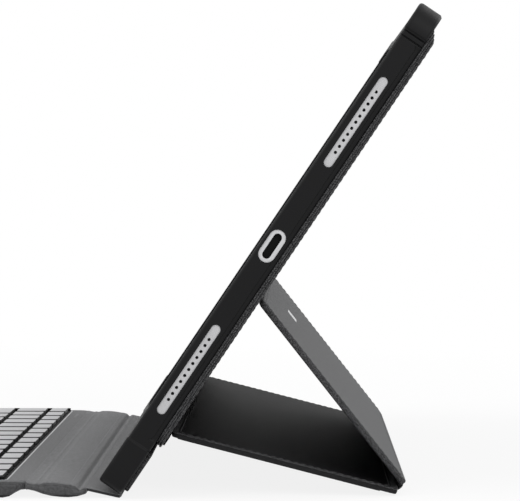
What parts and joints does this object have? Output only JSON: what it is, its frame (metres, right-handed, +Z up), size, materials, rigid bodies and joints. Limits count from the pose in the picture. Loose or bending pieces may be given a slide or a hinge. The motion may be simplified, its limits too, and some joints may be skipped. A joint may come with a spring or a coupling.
{
  "type": "tablet keyboard case",
  "caption": "Folding tablet keyboard case: lipped tray on a hinged two-panel magnetic stand, joined by a padded spine to a slim keyboard with a touch pad.",
  "frame": {"origin": "middle of the footprint, at the height of the table", "axes": "+X along the keyboard to the typist's right, +Y away from the typist, +Z up"},
  "size_m": [0.288, 0.3626, 0.1925],
  "materials": {
    "tray_plastic": "satin moulded TPU",
    "black_leather": "fine grained, stitched edge",
    "grey_fabric": "fine woven",
    "lining": "short microfibre nap",
    "silver_metal": "satin",
    "trim_metal": "satin",
    "key_plastic": "fine matt",
    "black_plastic": "matt",
    "pad_plastic": "smooth matt",
    "board_core": "glass fibre board",
    "magnet_steel": "nickel plated",
    "clear_film": "printed film",
    "dome_rubber": "silicone",
    "battery_foil": "foil pouch",
    "circuit_laminate": "solder mask",
    "light_lens": "clear lens"
  },
  "bodies": {
    "tray": {"tray_shell": "tray_plastic", "tray_lining": "lining", "speaker_grilles_right": "silver_metal", "speaker_grilles_left": "silver_metal", "port_surround": "silver_metal", "camera_window_trim": "black_plastic", "back_board": "black_leather", "back_board_stiffener": "board_core", "tray_magnets": "magnet_steel", "anchor_strip": "black_leather", "base_hinge_web": "black_leather"},
    "base": {"base_cover": "black_leather", "base_stiffener": "board_core", "base_lining": "lining", "fold_hinge": "black_leather"},
    "strut": {"strut_cover": "grey_fabric", "strut_stiffener": "board_core", "strut_lining": "lining", "strut_magnets": "magnet_steel", "badge_plate": "silver_metal"},
    "wrap": {"wrap_panel": "grey_fabric", "wrap_stiffener": "board_core"},
    "spine": {"spine_cover": "grey_fabric", "spine_stiffener": "board_core", "spine_hinge_web": "grey_fabric"},
    "keyboard": {"keyboard_cover": "grey_fabric", "keyboard_hinge_web": "grey_fabric", "key_deck": "black_plastic", "deck_trim": "trim_metal", "base_plate": "magnet_steel", "membrane_sheet": "clear_film", "rubber_domes": "dome_rubber", "battery_cells": "battery_foil", "circuit_board": "circuit_laminate", "charge_socket": "magnet_steel", "indicator_lights": "light_lens", "keyboard_magnets": "magnet_steel", "touch_pad_frame": "black_plastic"},
    "function_keys": {"function_keys": "key_plastic"},
    "number_keys": {"number_keys": "key_plastic"},
    "upper_letter_keys": {"upper_letter_keys": "key_plastic"},
    "home_letter_keys": {"home_letter_keys": "key_plastic"},
    "lower_letter_keys": {"lower_letter_keys": "key_plastic"},
    "bottom_keys": {"bottom_keys": "key_plastic"},
    "space_bar": {"space_bar": "key_plastic"},
    "touch_pad": {"touch_pad": "pad_plastic"},
    "power_switch": {"power_switch": "black_plastic"},
    "pairing_button": {"pairing_button": "black_plastic"}
  },
  "joints": [
    {"name": "base_fold", "type": "hinge", "parent": "tray", "child": "base", "pos_m": [0, 0.07682, 0.02408], "axis": [1, 0, 0], "range_deg": [0, 70.4]},
    {"name": "strut_fold", "type": "hinge", "parent": "base", "child": "strut", "pos_m": [0, 0.16593, 0.0012], "axis": [1, 0, 0], "range_deg": [-140.8, 0]},
    {"name": "wrap_fold", "type": "hinge", "parent": "tray", "child": "wrap", "pos_m": [0, 0.05609, 0.0005], "axis": [1, 0, 0], "range_deg": [-21.36, 158.64]},
    {"name": "spine_fold", "type": "hinge", "parent": "wrap", "child": "spine", "pos_m": [0, 0.04048, 0.004], "axis": [1, 0, 0], "range_deg": [-102.64, 77.36]},
    {"name": "keyboard_fold", "type": "hinge", "parent": "spine", "child": "keyboard", "pos_m": [0, 0.02368, 0.0058], "axis": [-1, 0, 0], "range_deg": [-60, 90]},
    {"name": "function_keys_press", "type": "slide", "parent": "keyboard", "child": "function_keys", "axis": [0, 0, -1], "range_m": [0, 0.0012], "stiffness_N_per_m": 400, "springref_m": -0.0006},
    {"name": "number_keys_press", "type": "slide", "parent": "keyboard", "child": "number_keys", "axis": [0, 0, -1], "range_m": [0, 0.0012], "stiffness_N_per_m": 400, "springref_m": -0.0006},
    {"name": "upper_letter_keys_press", "type": "slide", "parent": "keyboard", "child": "upper_letter_keys", "axis": [0, 0, -1], "range_m": [0, 0.0012], "stiffness_N_per_m": 400, "springref_m": -0.0006},
    {"name": "home_letter_keys_press", "type": "slide", "parent": "keyboard", "child": "home_letter_keys", "axis": [0, 0, -1], "range_m": [0, 0.0012], "stiffness_N_per_m": 400, "springref_m": -0.0006},
    {"name": "lower_letter_keys_press", "type": "slide", "parent": "keyboard", "child": "lower_letter_keys", "axis": [0, 0, -1], "range_m": [0, 0.0012], "stiffness_N_per_m": 400, "springref_m": -0.0006},
    {"name": "bottom_keys_press", "type": "slide", "parent": "keyboard", "child": "bottom_keys", "axis": [0, 0, -1], "range_m": [0, 0.0012], "stiffness_N_per_m": 400, "springref_m": -0.0006},
    {"name": "space_bar_press", "type": "slide", "parent": "keyboard", "child": "space_bar", "axis": [0, 0, -1], "range_m": [0, 0.0012], "stiffness_N_per_m": 400, "springref_m": -0.0006},
    {"name": "touch_pad_press", "type": "slide", "parent": "keyboard", "child": "touch_pad", "axis": [0, 0, -1], "range_m": [0, 0.0003], "stiffness_N_per_m": 1500, "springref_m": -0.0004},
    {"name": "power_switch_slide", "type": "slide", "parent": "keyboard", "child": "power_switch", "axis": [0, -1, 0], "range_m": [0, 0.0036]},
    {"name": "pairing_button_press", "type": "slide", "parent": "keyboard", "child": "pairing_button", "axis": [1, 0, 0], "range_m": [0, 0.0005], "stiffness_N_per_m": 400, "springref_m": -0.0005}
  ],
  "couplings": [
    {"joint": "strut_fold", "follows": "base_fold", "ratio": -2}
  ]
}
